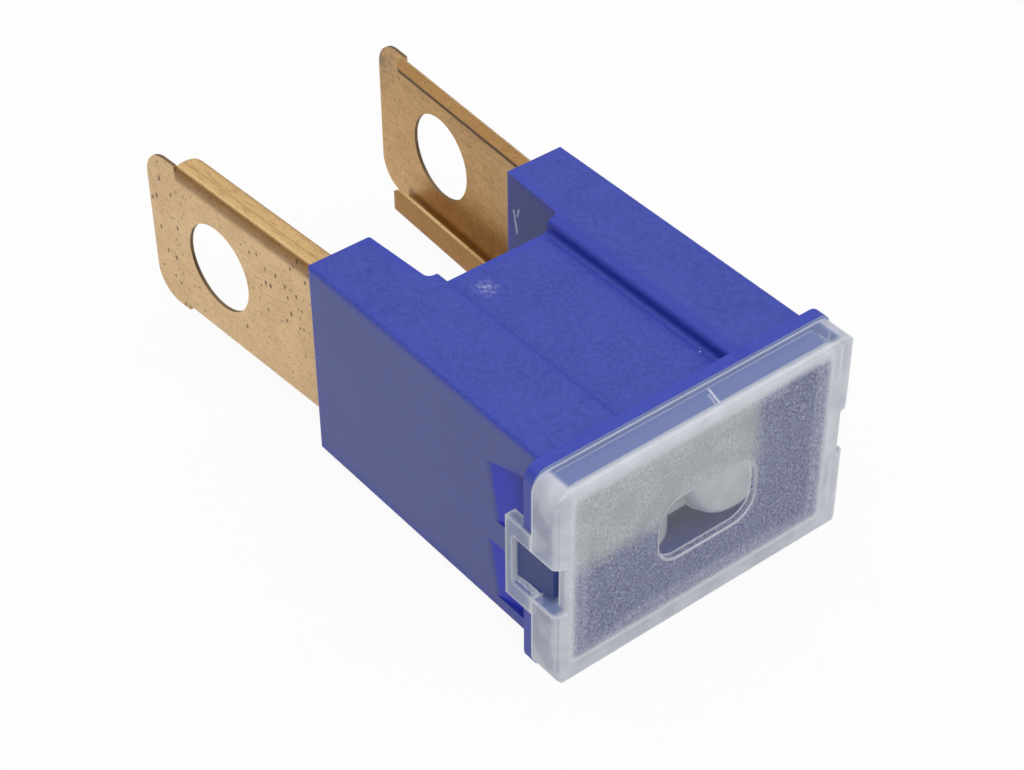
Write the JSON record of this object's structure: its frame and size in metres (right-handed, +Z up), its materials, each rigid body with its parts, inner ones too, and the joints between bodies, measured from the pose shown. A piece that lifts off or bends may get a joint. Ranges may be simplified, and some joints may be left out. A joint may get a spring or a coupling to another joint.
{
  "type": "fusible link",
  "caption": "Bolt-in fusible link: blue two-cheek plastic housing with a clear clipped cover and splayed, folded brass legs with bolt holes.",
  "frame": {"origin": "on the plane that the link lies on, below the middle of its bounding box; the link lies on a broad face", "axes": "+Y runs from the clear cover to the tips of the legs, +X across the width from leg to leg, +Z up through the thickness"},
  "size_m": [0.0232, 0.0458, 0.0159],
  "materials": {
    "blue_plastic": "moulded matte",
    "clear_plastic": "clear, pebbled front with a smooth window",
    "brass_sheet": "rolled sheet, lightly pitted",
    "tin": "dull cast tin"
  },
  "bodies": {
    "root": {"housing": "blue_plastic", "cover": "clear_plastic", "fuse_element": "brass_sheet", "tin_pellet": "tin"}
  },
  "joints": []
}
